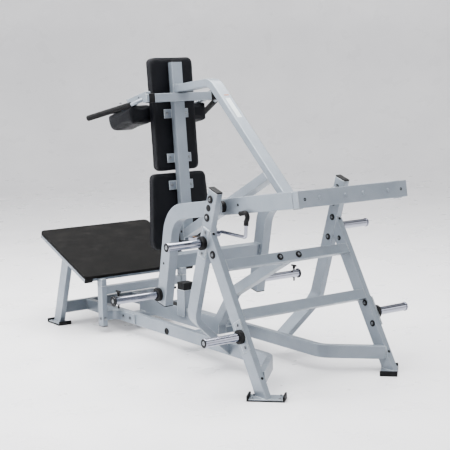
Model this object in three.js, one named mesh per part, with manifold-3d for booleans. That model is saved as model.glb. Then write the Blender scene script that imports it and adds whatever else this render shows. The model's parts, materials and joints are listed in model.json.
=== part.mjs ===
// Plate-loaded squat and leg press machine. A lever frame carrying back pads, shoulder pads and plate
// horns swings on two A-frames, behind an inclined foot platform.
// Millimetres, +Z up, +Y to the rear, +X to the user's left. Heights are above the floor and every y
// is measured from the main pivot; the last lines move the origin to the middle of the floor area.
import * as THREE from "three";
import { mergeVertices } from "three/addons/utils/BufferGeometryUtils.js";
import Module from "manifold-3d";

const wasm = await Module();
wasm.setup();

// ---------------------------------------------------------------- driving dimensions
const deg = Math.PI / 180;
const gap = 0.3; // clearance between pieces that meet face to face

const pivot = { y: 0, z: 1040 };

const frameTube = { wide: 40, deep: 90 }; // tubes of the A-frames and the platform's front legs
const frameInner = 460; // inner face of each A-frame
const frameOuter = frameInner + frameTube.wide;
const frameX = frameInner + frameTube.wide / 2;
const uprightLean = 18.6 * deg; // the top leans to the rear
const uprightTop = { y: 43, z: 1140 };
const legBend = 350; // height where the front leg turns inward to the rail
const rearLegLean = 30.1 * deg;
const rearLegHeel = { y: 503, z: 44 }; // a point on the rear face, near the floor
const crossbar = { deep: 40, tall: 62, tops: { upper: 746, lower: 480 } };

const rail = { outer: 215, wide: 40, top: 155, bottom: 75, front: -2040, flare: 165 };
const railX = rail.outer - rail.wide / 2;
const railZ = (rail.top + rail.bottom) / 2;
const beam = { wide: 60, deep: 112, riserDeep: 64, z: 168, front: -1595, rear: -606 };
const stopPost = { y: -1028, long: 90, wide: 90, top: 349, bumper: 48 };

const deck = { front: { y: -2269, z: 665 }, rear: { y: -1599, z: 406 }, half: 460, thick: 22 };
const deckFrame = { inner: 392, outer: 452, deep: 30 };
const platformLegX = [412, 452];
const platformLegLean = 19.1 * deg;
const rearPostX = [315, 355];
const rearPostY = [-1620, -1558];
const plateTop = 14; // top of the steel foot plates

const hornRadius = 25; // takes plates with a 50 mm bore
const storageHorns = { tip: 763, upper: { y: -55, z: 830 }, lower: { y: 303, z: 335 } };
const loadingHorn = { y: -730, z: 410, tip: 740, pinX: 700 };

const arm = { inner: 335, outer: 398, deep: 96, rise: 8.3 * deg, end: 648 };
const armTopAtPivot = 1080; // height of the arm's top face above the pivot axis
const weightArm = { lean: 11.8 * deg, front: { y: -739, z: 479 }, bottom: 350 };

const spine = { wide: 80, deep: 50, foot: { y: -996, z: 690 }, long: 1191, lean: 4.67 * deg };
const boomAngle = 42 * deg;
const backPad = { half: 166, thick: 75, bottom: 474, top: 1226 }; // heights along the spine
const seatPad = { topHalf: 208, bottomHalf: 244, thick: 65, bottom: -50, top: 455 };
const shoulderPad = { inner: 140, outer: 300, rear: -1172, long: 346, thick: 120 };
const shoulderSlope = 13.7 * deg; // pads and yoke arms fall to the front
const lockHub = { y: -28, z: 880 }; // axis of the lockout lever

// ---------------------------------------------------------------- shape helpers
const point = (x, y, z) => new THREE.Vector3(x, y, z);
const lateral = point(1, 0, 0);

function merged(geometry) {
  const bare = geometry.index ? geometry.toNonIndexed() : geometry.clone();
  bare.deleteAttribute("normal");
  bare.deleteAttribute("uv");
  return mergeVertices(bare, 1e-3);
}

function solid(geometry) {
  const g = merged(geometry);
  return new wasm.Manifold(new wasm.Mesh({
    numProp: 3,
    vertProperties: new Float32Array(g.attributes.position.array),
    triVerts: new Uint32Array(g.index.array),
  }));
}

function toGeometry(body) {
  const mesh = body.getMesh();
  const g = new THREE.BufferGeometry();
  g.setAttribute("position", new THREE.BufferAttribute(new Float32Array(mesh.vertProperties), 3));
  g.setIndex(new THREE.BufferAttribute(new Uint32Array(mesh.triVerts), 1));
  return g;
}

const join = (...parts) => toGeometry(parts.map(solid).reduce((a, b) => a.add(b)));
const cut = (base, ...tools) => toGeometry(tools.map(solid).reduce((a, b) => a.subtract(b), solid(base)));

function mirrored(geometry) {
  const flipped = merged(geometry).scale(-1, 1, 1);
  const order = flipped.index.array;
  for (let i = 0; i < order.length; i += 3) [order[i + 1], order[i + 2]] = [order[i + 2], order[i + 1]];
  return flipped;
}

// Box between two corners.
function block(x0, x1, y0, y1, z0, z1) {
  const g = new THREE.BoxGeometry(x1 - x0, y1 - y0, z1 - z0);
  return g.translate((x0 + x1) / 2, (y0 + y1) / 2, (z0 + z1) / 2);
}

// Rectangle with rounded corners, centred on the origin.
function roundedRectangle(width, height, radius) {
  const [w, h] = [width / 2 - radius, height / 2 - radius];
  const s = new THREE.Shape();
  s.moveTo(w, -height / 2).absarc(w, -h, radius, -Math.PI / 2, 0);
  s.absarc(w, h, radius, 0, Math.PI / 2);
  s.absarc(-w, h, radius, Math.PI / 2, Math.PI);
  s.absarc(-w, -h, radius, Math.PI, Math.PI * 1.5);
  return s;
}

// A path through the given corners, each rounded to `radius`, that is sampled only where it turns.
class TubePath extends THREE.Curve {
  constructor(corners, radius, facets, side) {
    super();
    this.side = side;
    this.stations = [];
    corners.forEach((corner, i) => {
      const before = corners[i - 1] && corner.clone().sub(corners[i - 1]).normalize();
      const after = corners[i + 1] && corners[i + 1].clone().sub(corner).normalize();
      if (!before || !after) {
        this.stations.push({ at: corner, along: before || after });
        return;
      }
      const turn = before.angleTo(after);
      const inward = after.clone().addScaledVector(before, -Math.cos(turn)).normalize();
      const start = corner.clone().addScaledVector(before, -radius * Math.tan(turn / 2));
      for (let k = 0; k <= facets; k++) {
        const a = (turn * k) / facets;
        this.stations.push({
          at: start.clone().addScaledVector(before, radius * Math.sin(a))
            .addScaledVector(inward, radius * (1 - Math.cos(a))),
          along: before.clone().multiplyScalar(Math.cos(a)).addScaledVector(inward, Math.sin(a)),
        });
      }
    });
  }
  station(u) {
    return this.stations[Math.round(u * (this.stations.length - 1))];
  }
  getPoint(u) {
    return this.station(u).at.clone();
  }
  getPointAt(u) {
    return this.getPoint(u);
  }
  computeFrenetFrames() {
    const tangents = this.stations.map((s) => s.along.clone());
    const first = this.side.clone().addScaledVector(tangents[0], -this.side.dot(tangents[0])).normalize();
    const normals = [first];
    for (let i = 1; i < tangents.length; i++) {
      const swing = new THREE.Quaternion().setFromUnitVectors(tangents[i - 1], tangents[i]);
      normals.push(normals[i - 1].clone().applyQuaternion(swing));
    }
    const binormals = tangents.map((t, i) => t.clone().cross(normals[i]));
    return { tangents, normals, binormals };
  }
}

// Any closed section swept along a path; the section's x axis starts along `side`.
function sweep(section, corners, { radius = 60, facets = 6, side = lateral, rounding = 2 } = {}) {
  const path = new TubePath(corners, radius, facets, side);
  return new THREE.ExtrudeGeometry(section, {
    steps: path.stations.length - 1, extrudePath: path, curveSegments: rounding,
  });
}

// Rectangular tube; `wide` is measured along `side`, `deep` at right angles to it.
function tube(corners, wide, deep, options = {}) {
  return sweep(roundedRectangle(wide, deep, options.corner || 3), corners, options);
}

function roundTube(corners, radius, options = {}) {
  return sweep(new THREE.Shape().absarc(0, 0, radius, 0, 2 * Math.PI), corners, { rounding: 14, ...options });
}

// Turned piece with its axis along X: profile as [x, radius] pairs from the first x to the last.
function turned(profile, y, z, sides = 24) {
  const closed = [[profile[0][0], 0], ...profile, [profile[profile.length - 1][0], 0]];
  const g = new THREE.LatheGeometry(closed.map(([x, r]) => new THREE.Vector2(r, x)), sides);
  return g.rotateZ(-Math.PI / 2).translate(0, y, z);
}

// Ring with its axis along X.
function ring(x0, x1, outer, inner, y, z, sides = 24) {
  const profile = [[inner, x0], [outer - 2, x0], [outer, x0 + 2], [outer, x1 - 2], [outer - 2, x1],
    [inner, x1], [inner, x0]];
  const g = new THREE.LatheGeometry(profile.map(([r, h]) => new THREE.Vector2(r, h)), sides);
  return g.rotateZ(-Math.PI / 2).translate(0, y, z);
}

// Slab with rounded outline in its own x-y plane and softened edges, from z0 up to z1.
function cushion(shape, z0, z1, edge, curveSegments = 5) {
  const g = new THREE.ExtrudeGeometry(shape, {
    depth: z1 - z0 - 2 * edge, bevelThickness: edge, bevelSize: edge, bevelOffset: -edge,
    bevelSegments: 3, curveSegments,
  });
  return g.translate(0, 0, z0 + edge);
}

// ---------------------------------------------------------------- finishes
const finish = (color, roughness, metalness) => () =>
  new THREE.MeshStandardMaterial({ color, roughness, metalness });
const silver = finish(0x9aa4a9, 0.45, 0.3);
const chrome = finish(0xd8dadd, 0.12, 1);
const rubber = finish(0x1b1d1f, 0.85, 0);
const leather = finish(0x17181b, 0.6, 0);
const grit = finish(0x3a3a3a, 0.9, 0);

const machine = new THREE.Group();
function add(name, geometry, makeMaterial) {
  const mesh = new THREE.Mesh(geometry, makeMaterial());
  mesh.name = name;
  machine.add(mesh);
}
// The same piece on both sides; the geometry given is the left one, on +X.
function addPair(name, geometry, makeMaterial) {
  add("left_" + name, geometry, makeMaterial);
  add("right_" + name, mirrored(geometry), makeMaterial);
}

// ---------------------------------------------------------------- A-frames
const uprightAt = (z) => ({ y: uprightTop.y - (uprightTop.z - z) * Math.tan(uprightLean), z });
const leg = uprightAt(legBend);
const railSide = block(0, rail.outer + gap, -800, 300, -100, 500);
const uprightTube = cut(
  tube([point(frameX, uprightTop.y, uprightTop.z), point(frameX, leg.y, leg.z),
    point(165, leg.y - 48, 72)], frameTube.wide, frameTube.deep, { radius: 125, facets: 6 }),
  railSide,
);
// Mounting plate of a storage horn, turned to lie along its leg.
function hornPlate({ y, z }, lean) {
  const plate = block(frameOuter - 1, frameOuter + 6, -32, 32, -92, 92);
  return plate.rotateX(lean).translate(0, y, z);
}
const lockoutPlate = block(frameInner - 14, frameInner + 1, -20, 20, -47, 47)
  .rotateX(-uprightLean).translate(0, lockHub.y, lockHub.z);
const upright = join(uprightTube, hornPlate(storageHorns.upper, -uprightLean));
add("left_upright", join(upright, lockoutPlate), silver);
add("right_upright", mirrored(upright), silver);

// Rear leg: from the rear face of the upright down to its foot plate.
const rearFace = (z) => rearLegHeel.y - (z - rearLegHeel.z) * Math.tan(rearLegLean);
const frontFace = (z) => rearFace(z) - frameTube.deep / Math.cos(rearLegLean);
const legMiddle = (z) => (rearFace(z) + frontFace(z)) / 2;
const uprightBack = block(0, 900, -600, frameTube.deep / 2 + gap, -1200, 400)
  .rotateX(-uprightLean).translate(0, uprightTop.y, uprightTop.z);
const belowFloor = (top) => block(-900, 900, -3000, 3000, -500, top);
const rearLegTube = cut(
  tube([point(frameX, legMiddle(-60), -60), point(frameX, legMiddle(1000), 1000)],
    frameTube.wide, frameTube.deep),
  uprightBack, belowFloor(plateTop - 2),
);
const onFoot = (g) => g.rotateZ(-45 * deg).translate(464, 477, 0); // square to the flared rails
const footPlate = onFoot(block(-96, 96, -50, 50, 6 + gap, plateTop));
const horn2 = hornPlate(storageHorns.lower, rearLegLean);
addPair("rear_leg", join(rearLegTube, footPlate, horn2), silver);

// A rubber shoe lies under each foot plate and curls up round its two ends.
const curl = (s) => block(s * 97 - (s < 0 ? 11 : 0), s * 97 + (s > 0 ? 11 : 0), -52, 52, 5, 30);
addPair("rear_foot_shoe", onFoot(join(block(-108, 108, -52, 52, 0, 6), curl(1), curl(-1))), rubber);

// Crossbars lie between the rear legs, flush with their rear faces.
for (const [name, top] of Object.entries(crossbar.tops)) {
  const half = frameInner - gap;
  const bar = tube([point(-half, -crossbar.deep / 2, -crossbar.tall / 2),
    point(half, -crossbar.deep / 2, -crossbar.tall / 2)], crossbar.deep, crossbar.tall, { side: point(0, 1, 0) });
  add(name + "_crossbar", bar.rotateX(rearLegLean).translate(0, rearFace(top), top), silver);
}

// ---------------------------------------------------------------- base rails and central beam
const legInner = block(frameInner - gap, 900, 0, 900, -100, 500);
const railTube = cut(
  tube([point(railX, rail.front + gap, railZ), point(railX, rail.flare, railZ),
    point(railX + 400, rail.flare + 400, railZ)], rail.wide, rail.top - rail.bottom, { radius: 140, facets: 7 }),
  legInner,
);
addPair("base_rail", railTube, silver);
add("front_cross_tube", tube([point(-platformLegX[0] + gap, 0, 0), point(platformLegX[0] - gap, 0, 0)],
  40, rail.top - rail.bottom, { side: point(0, 1, 0) }).translate(0, rail.front - 20, railZ), silver);

// The central beam runs back along the floor, rises, and is flanged to the upper crossbar.
const flangeAt = { y: rearFace(crossbar.tops.upper), z: crossbar.tops.upper };
const flange = block(-95, 95, -crossbar.deep - gap - 8, -crossbar.deep - gap, -crossbar.tall + 2, -2)
  .rotateX(rearLegLean).translate(0, flangeAt.y, flangeAt.z);
const flangeMiddle = point(0, -crossbar.deep - gap - 5, -crossbar.tall / 2)
  .applyAxisAngle(lateral, rearLegLean).add(point(0, flangeAt.y, flangeAt.z));
const beamRiser = tube([point(0, -650, beam.z), point(0, -455, 418), flangeMiddle], beam.wide, beam.riserDeep,
  { radius: 120, facets: 5 });
const beamTube = join(tube([point(0, beam.front, beam.z), point(0, beam.rear, beam.z)], beam.wide, beam.deep),
  beamRiser);
const beamBottom = beam.z - beam.deep / 2;
const tie = (y) => block(-rail.outer + rail.wide + gap, rail.outer - rail.wide - gap, y - 30, y + 30,
  rail.bottom + 2, beamBottom + 8);
const post = block(-stopPost.wide / 2, stopPost.wide / 2, stopPost.y - stopPost.long / 2,
  stopPost.y + stopPost.long / 2, beam.z, stopPost.top);
add("central_beam", join(beamTube, flange, tie(-1550), tie(-760), post), silver);
const beamTop = beam.z + beam.deep / 2;
add("beam_strip", block(-28, 28, -1240, -1090, beamTop + gap, beamTop + 5), rubber);
add("stop_bumper", block(-42, 42, stopPost.y - 42, stopPost.y + 42, stopPost.top + gap,
  stopPost.top + stopPost.bumper), rubber);

// ---------------------------------------------------------------- foot platform
const deckRun = { y: deck.rear.y - deck.front.y, z: deck.rear.z - deck.front.z };
const deckLength = Math.hypot(deckRun.y, deckRun.z);
const deckTilt = Math.atan2(deckRun.z, deckRun.y);
// Local frame of the deck: y runs down the deck from its front edge, z stands out of it.
const onDeck = (g) => g.rotateX(deckTilt).translate(0, deck.front.y, deck.front.z);
const deckShape = roundedRectangle(2 * deck.half, deckLength, 34);
add("platform_deck", onDeck(cushion(deckShape, -deck.thick, 0, 4, 4).translate(0, deckLength / 2, 0)), grit);

const frameTopZ = -deck.thick - gap;
const frameBottomZ = frameTopZ - deckFrame.deep;
const frameMiddleZ = (frameTopZ + frameBottomZ) / 2;
const sideTubeX = (deckFrame.inner + deckFrame.outer) / 2;
addPair("platform_side_tube", onDeck(tube([point(sideTubeX, 22, frameMiddleZ),
  point(sideTubeX, deckLength - 14, frameMiddleZ)], 60, deckFrame.deep)), silver);
const crossHalf = deckFrame.inner - gap;
add("rear_platform_crossbar", onDeck(tube([point(-crossHalf, 0, frameMiddleZ), point(crossHalf, 0, frameMiddleZ)],
  60, deckFrame.deep, { side: point(0, 1, 0) }).translate(0, deckLength - 48, 0)), silver);

// Front legs: straight tubes from the side tubes down to a foot plate, leaning out at the bottom.
const legAxisY = (z) => -1916.5 - (460.5 - z) * Math.tan(platformLegLean);
const platformLegMid = (platformLegX[0] + platformLegX[1]) / 2;
const overDeckFrame = onDeck(block(0, 900, -300, 1200, frameBottomZ - gap, 600));
const frontLegTube = cut(
  tube([point(platformLegMid, legAxisY(-60), -60), point(platformLegMid, legAxisY(640), 640)],
    frameTube.wide, frameTube.deep),
  overDeckFrame, belowFloor(plateTop - 2),
);
const frontFoot = legAxisY(plateTop);
const frontPlate = block(platformLegX[0] - 24, platformLegX[1] + 24, frontFoot - 78, frontFoot + 78, 6 + gap,
  plateTop);
addPair("front_platform_leg", join(frontLegTube, frontPlate), silver);
addPair("front_foot_shoe", block(platformLegX[0] - 30, platformLegX[1] + 30, frontFoot - 86, frontFoot + 86, 0, 6),
  rubber);

// Rear posts: upright tubes under the deck's rear edge, each tied to its rail by a bolted splice plate.
const deckUnderside = onDeck(block(0, 900, -300, 1200, frameBottomZ - gap, 600));
const rearPost = cut(
  tube([point(335, -1589, 50), point(335, -1589, 420)], rearPostX[1] - rearPostX[0], rearPostY[1] - rearPostY[0]),
  deckUnderside,
);
const spliceArm = tube([point(322, -1589, railZ), point(240, -1589, railZ), point(218.8, -1540, railZ),
  point(218.8, -1350, railZ)], 7, 68, { radius: 40, facets: 4, side: point(0, 1, 0), corner: 1 });
const railFace = block(0, rail.outer + gap, -1700, -1200, 0, 300);
addPair("rear_platform_post", join(rearPost, cut(spliceArm, railFace)), silver);
add("lower_platform_crossbar", tube([point(-rearPostX[0] + gap, -1589, 300), point(rearPostX[0] - gap, -1589, 300)],
  40, 60, { side: point(0, 1, 0) }), silver);

// ---------------------------------------------------------------- plate horns
// Bar with a slightly larger end stop and a chamfered tip, from x0 to the tip.
const hornProfile = (x0, tip) => [[x0, hornRadius], [tip - 9, hornRadius], [tip - 9, hornRadius + 3],
  [tip - 2, hornRadius + 3], [tip, hornRadius + 1]];
const hornSeat = frameOuter + 6 + gap;
for (const place of ["upper", "lower"]) {
  const { y, z } = storageHorns[place];
  addPair(place + "_storage_horn", turned(hornProfile(hornSeat, storageHorns.tip), y, z), chrome);
  addPair(place + "_storage_collar", ring(hornSeat, hornSeat + 25, 41, hornRadius + gap + 0.3, y, z), rubber);
}

// ---------------------------------------------------------------- main pivot and press arms
// Flanged bearing on the inner face of each upright; the arm's stub shaft runs up to it.
const bearing = [[430, 34], [440, 34], [440, 50], [frameInner - gap, 50]];
addPair("bearing_housing", turned(bearing, pivot.y, pivot.z), silver);

const armTop = (y) => armTopAtPivot + 5 + y * Math.tan(arm.rise);
const armMiddle = (y) => armTop(y) - arm.deep / 2 / Math.cos(arm.rise);
const weightAxisY = (z) => weightArm.front.y + (z - weightArm.front.z) * Math.tan(weightArm.lean)
  + arm.deep / 2 / Math.cos(weightArm.lean);
let elbowZ = 900; // height where the two centre lines meet
for (let i = 0; i < 30; i++) elbowZ = armMiddle(weightAxisY(elbowZ));
const armX = (arm.inner + arm.outer) / 2;
const armTube = tube([point(armX, arm.end, armMiddle(arm.end)), point(armX, weightAxisY(elbowZ), elbowZ),
  point(armX, weightAxisY(weightArm.bottom), weightArm.bottom)], arm.outer - arm.inner, arm.deep,
{ radius: 195, facets: 9 });
const stub = turned([[armX, 30], [429.5, 30]], pivot.y, pivot.z);
addPair("arm_tube", join(armTube, stub), silver);

const between = arm.inner - gap;
// Tube running across the machine, tilted with the press arms about its own centre.
const crossTube = (half, deep, tall, y, z, tilt) => tube([point(-half, 0, 0), point(half, 0, 0)], deep, tall,
  { side: point(0, 1, 0) }).rotateX(tilt).translate(0, y, z);
add("rear_crossbeam", crossTube(arm.outer, 50, 94, arm.end + gap + 26, armMiddle(arm.end) + 3, arm.rise), silver);
add("torque_tube", crossTube(between, 100, 80, 68, armMiddle(68), arm.rise), silver);
add("lower_cross_tube", crossTube(between, 50, 90, weightAxisY(630), 630, -weightArm.lean), silver);

addPair("loading_horn", cut(
  turned(hornProfile(arm.outer + gap, loadingHorn.tip), loadingHorn.y, loadingHorn.z),
  new THREE.CylinderGeometry(7, 7, 90, 16).rotateX(Math.PI / 2)
    .translate(loadingHorn.pinX, loadingHorn.y, loadingHorn.z)), chrome);
addPair("loading_collar", ring(arm.outer + gap, arm.outer + 25, 43, hornRadius + gap + 0.3, loadingHorn.y,
  loadingHorn.z), rubber);
// Pull pin through the horn with a T-shaped knob.
const pin = new THREE.CylinderGeometry(5.5, 5.5, 100, 14).rotateX(Math.PI / 2).translate(0, 0, 0);
const neck = new THREE.CylinderGeometry(9, 9, 16, 14).rotateX(Math.PI / 2).translate(0, 0, 45);
const knob = new THREE.CylinderGeometry(6.5, 6.5, 46, 12).translate(0, 0, 57);
addPair("lock_pin", join(pin, neck, knob).translate(loadingHorn.pinX, loadingHorn.y, loadingHorn.z), rubber);

// ---------------------------------------------------------------- spine, boom, brace
// Local frame of the spine: z runs up along it from its foot, y points to its rear.
const onSpine = (g) => g.rotateX(spine.lean).translate(0, spine.foot.y, spine.foot.z);
const spineTube = tube([point(0, 0, 0), point(0, 0, spine.long)], spine.wide, spine.deep);
const padPlate = (z) => block(-95, 95, -spine.deep / 2 - 6, -spine.deep / 2 + 1, z - 30, z + 30);
add("spine_tube", onSpine(join(spineTube, ...[375, 556, 852].map(padPlate))), silver);

const spineRear = onSpine(block(-100, 100, -300, spine.deep / 2 + gap, -400, 1600));
const torqueTop = block(-100, 100, -200, 300, -200, 40 + gap).rotateX(arm.rise).translate(0, 68, armMiddle(68));
const boomDown = point(0, Math.cos(boomAngle), -Math.sin(boomAngle));
const boomFoot = point(0, -40.7, 1206.4).addScaledVector(boomDown, 240);
const boomHip = point(0, -40.7, 1206.4).addScaledVector(boomDown, -810);
const boomTube = cut(
  tube([point(0, -1090, boomHip.z - 52), boomHip, boomFoot], spine.wide, 50, { radius: 120, facets: 7 }),
  spineRear, torqueTop,
);
add("boom_tube", boomTube, silver);

const boomUnder = tube([boomHip.clone().addScaledVector(boomDown, -200), boomFoot], 200, 50 + 2 * gap);
const braceTube = cut(
  tube([point(0, -1040, 706), point(0, -52, 1194)], spine.wide, 58), spineRear, boomUnder,
);
add("brace_tube", braceTube, silver);

// ---------------------------------------------------------------- yoke, handles and pads
const yoke = { half: 222, rear: 82, bottom: 928, top: 984, sleeve: 275 };
const yokeY = (spine.deep / 2 + gap + yoke.rear) / 2;
const yokeBar = tube([point(-yoke.half, 0, 0), point(yoke.half, 0, 0)], yoke.rear - spine.deep / 2 - gap,
  yoke.top - yoke.bottom, { side: point(0, 1, 0) }).translate(0, yokeY, (yoke.bottom + yoke.top) / 2);
add("yoke_bar", onSpine(yokeBar), silver);

// Yoke arm: sleeve end, a side tube sloping forward over the pad, and a flat tongue bolted to the pad.
const yokeMid = point(0, yokeY, (yoke.bottom + yoke.top) / 2).applyAxisAngle(lateral, spine.lean)
  .add(point(0, spine.foot.y, spine.foot.z));
const onShoulder = (g) => g.rotateX(shoulderSlope).translate(0, -1254, 1634); // z = 0 is the arm's top face
const sleeve = tube([point(yoke.half + gap, 0, 0), point(yoke.sleeve + 12, 0, 0)], 52, 52,
  { side: point(0, 1, 0) }).rotateX(spine.lean).translate(0, yokeMid.y, yokeMid.z);
const sideArm = onShoulder(tube([point(268, 250, -22), point(276, 20, -25)], 38, 44));
const tongue = onShoulder(block(240, 304, -222, 60, -48, -40));
const handle = roundTube([point(276, -1060, 1640), point(318, -1072, 1622), point(333, -1110, 1608)], 13,
  { radius: 14, facets: 3 });
addPair("yoke_arm", join(sleeve, sideArm, tongue, handle), silver);

const gripEnd = point(471, -1450, 1515);
const gripStart = point(333, -1110, 1608).addScaledVector(
  gripEnd.clone().sub(point(333, -1110, 1608)).normalize(), 1.2);
const gripRun = gripEnd.clone().sub(gripStart);
const gripProfile = [[0, 0], [15, 0], [17, 3]].concat(
  [0, 20, 45, 70, 90].map((a) => [17 * Math.cos(a * deg), gripRun.length() - 17 + 17 * Math.sin(a * deg)]));
const grip = new THREE.LatheGeometry(gripProfile.map(([r, h]) => new THREE.Vector2(Math.max(r, 0), h)), 18);
grip.applyQuaternion(new THREE.Quaternion().setFromUnitVectors(point(0, 1, 0), gripRun.clone().normalize()));
addPair("grip", grip.translate(gripStart.x, gripStart.y, gripStart.z), rubber);

// Shoulder pads hang under the tongues; the lower front corner is well rounded.
const padFront = -shoulderPad.long / 2;
const padShape = new THREE.Shape();
padShape.moveTo(shoulderPad.long / 2, 0).lineTo(padFront + 14, 0);
padShape.quadraticCurveTo(padFront, 0, padFront, -16);
padShape.lineTo(padFront, -30).quadraticCurveTo(padFront + 6, -shoulderPad.thick, padFront + 75, -shoulderPad.thick);
padShape.lineTo(shoulderPad.long / 2 - 22, -shoulderPad.thick);
padShape.quadraticCurveTo(shoulderPad.long / 2, -shoulderPad.thick, shoulderPad.long / 2, -shoulderPad.thick + 22);
padShape.closePath();
const toSide = new THREE.Matrix4().makeBasis(point(0, 1, 0), point(0, 0, 1), point(1, 0, 0));
const padBody = cushion(padShape, shoulderPad.inner, shoulderPad.outer, 9, 6).applyMatrix4(toSide);
const padMiddleY = (shoulderPad.rear + 1254) / Math.cos(shoulderSlope) - shoulderPad.long / 2;
const padBack = -spine.deep / 2 - 6 - gap; // rear face of the back pads, in the spine's frame
const behindBackPad = onSpine(block(-400, 400, padBack - backPad.thick - 1.5, 600, 0, 1600));
addPair("shoulder_pad", cut(onShoulder(padBody.translate(0, padMiddleY, -48 - gap)), behindBackPad), leather);

// Back pads, drawn in the plane of the spine's front face.
const toFront = new THREE.Matrix4().makeBasis(point(1, 0, 0), point(0, 0, 1), point(0, -1, 0));
const padSlab = (shape, thick) => cushion(shape, -padBack, -padBack + thick, 10).applyMatrix4(toFront);
const upperShape = roundedRectangle(2 * backPad.half, backPad.top - backPad.bottom, 42);
add("upper_back_pad", onSpine(padSlab(upperShape, backPad.thick)
  .translate(0, 0, (backPad.top + backPad.bottom) / 2)), leather);
const lowerShape = new THREE.Shape();
const { topHalf, bottomHalf, bottom, top } = seatPad;
lowerShape.moveTo(-bottomHalf + 70, bottom).lineTo(bottomHalf - 70, bottom);
lowerShape.quadraticCurveTo(bottomHalf + 3, bottom, bottomHalf - 5, bottom + 85);
lowerShape.lineTo(topHalf + 3, top - 42).quadraticCurveTo(topHalf, top, topHalf - 40, top);
lowerShape.lineTo(-topHalf + 40, top).quadraticCurveTo(-topHalf, top, -topHalf - 3, top - 42);
lowerShape.lineTo(-bottomHalf + 5, bottom + 85).quadraticCurveTo(-bottomHalf - 3, bottom, -bottomHalf + 70, bottom);
add("lower_back_pad", onSpine(padSlab(lowerShape, seatPad.thick)), leather);

// ---------------------------------------------------------------- lockout lever, left side only
const hub = turned([[414, 17], [frameInner - 14 - 0.5, 17]], lockHub.y, lockHub.z, 18);
const lockBar = tube([point(422, lockHub.y, lockHub.z), point(422, -298, 806)], 10, 30);
const lockBlock = block(345, 427, -330, -265, 788, 826);
const rod = roundTube([point(422, lockHub.y, lockHub.z), point(422, 13, 895), point(422, 249, 887),
  point(422, 255, 956)], 10, { radius: 14, facets: 3 });
add("lockout_lever", join(hub, lockBar, lockBlock, rod), chrome);
add("lockout_grip", roundTube([point(422, 255.1, 956.5), point(422, 257, 979), point(422, 273, 1003),
  point(422, 257, 1030), point(422, 201, 1019)], 14, { radius: 19, facets: 4 }), rubber);

// ---------------------------------------------------------------- origin in the middle of the floor
const bounds = new THREE.Box3().setFromObject(machine, true);
const centre = bounds.getCenter(new THREE.Vector3());
machine.position.set(-centre.x, -centre.y, -bounds.min.z);
const root = new THREE.Group();
root.add(machine);
export default root;
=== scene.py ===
"""Looks of the lever leg press: materials, pads, fasteners, caps, weld beads, light and camera."""
import json
import math

import bmesh
import bpy
from mathutils import Matrix, Vector
from mathutils.bvhtree import BVHTree
from mathutils.kdtree import KDTree


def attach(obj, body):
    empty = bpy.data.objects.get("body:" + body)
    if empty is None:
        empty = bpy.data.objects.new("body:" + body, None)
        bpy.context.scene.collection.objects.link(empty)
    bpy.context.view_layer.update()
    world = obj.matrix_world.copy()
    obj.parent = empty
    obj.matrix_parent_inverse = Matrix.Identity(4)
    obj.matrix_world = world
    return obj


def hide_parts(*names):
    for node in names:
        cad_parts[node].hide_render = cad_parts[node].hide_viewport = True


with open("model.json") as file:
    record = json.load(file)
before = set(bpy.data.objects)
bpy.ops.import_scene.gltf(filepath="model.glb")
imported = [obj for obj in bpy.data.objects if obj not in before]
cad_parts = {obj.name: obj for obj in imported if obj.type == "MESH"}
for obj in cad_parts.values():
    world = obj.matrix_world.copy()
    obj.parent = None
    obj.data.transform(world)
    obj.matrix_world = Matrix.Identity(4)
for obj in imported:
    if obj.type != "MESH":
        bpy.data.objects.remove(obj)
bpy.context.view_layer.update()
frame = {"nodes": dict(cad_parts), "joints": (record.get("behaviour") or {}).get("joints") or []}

BASE, LEVER, LOCKOUT = "base_frame", "lever_frame", "lockout"
swing = next(j for j in frame["joints"] if j["name"] == "lever_swing")
PIVOT_Y = swing["pos_m"][1]  # row y of the main pivot, in metres
FRAME_INNER, FRAME_OUTER = 460, 500  # A-frame faces, mm from the middle
UPRIGHT_LEAN = math.radians(18.6)
REAR_LEG_LEAN = math.radians(30.1)
SPINE_LEAN = math.radians(4.67)
SPINE_FOOT = (-996, 690)  # y, z of the spine's lower end
SHOULDER_SLOPE = math.radians(13.7)
ARM_RISE = math.radians(8.3)
ARM_FOOT_LEAN = math.radians(11.8)  # lower end of the press arms
BOOM_DROP = math.radians(42)
REAR_LEG_FOOT = (503, 44)  # y, z
CROSSBEAM_Y = 648 + 26.3  # middle of the rear crossbeam
UPPER_HORN, LOWER_HORN, LOADING_HORN = (-55, 830), (303, 335), (-730, 410)  # y, z of the horns' axes
STORAGE_HORN_TIP, LOADING_HORN_TIP, LOCK_PIN_X = 763, 740, 700
CROSSBAR_TOPS = (746, 480)
POST_X, POST_REAR, POST_FRONT = 335, -1558, -1620  # platform posts
ARM_X, LOWER_ARM_X = 398, 366  # outer face and middle of a press arm
GROMMET = (215, -945, 102)  # cable grommet on the rail
SHOE = (432, -2071)  # x, y of a front shoe


def P(x, y, z):
    """A point given in mm, y from the main pivot, in the row frame."""
    return Vector((x / 1000, y / 1000 + PIVOT_Y, z / 1000))


def turned(angle, y, z):
    """Local frame turned about X, with its origin at (0, y, z)."""
    return Matrix.Translation(P(0, y, z)) @ Matrix.Rotation(angle, 4, "X") @ Matrix.Scale(0.001, 4)


ON_SPINE = turned(SPINE_LEAN, *SPINE_FOOT)
ON_SHOULDER = turned(SHOULDER_SLOPE, -1254, 1634)
ON_UPRIGHT = turned(-UPRIGHT_LEAN, 43, 1140)
ON_REAR_LEG = turned(REAR_LEG_LEAN, *REAR_LEG_FOOT)
DECK_TILT = math.atan2(406 - 665, 670)
ON_DECK = turned(DECK_TILT, -2269, 665)
X, Y, Z = Vector((1, 0, 0)), Vector((0, 1, 0)), Vector((0, 0, 1))


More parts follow.
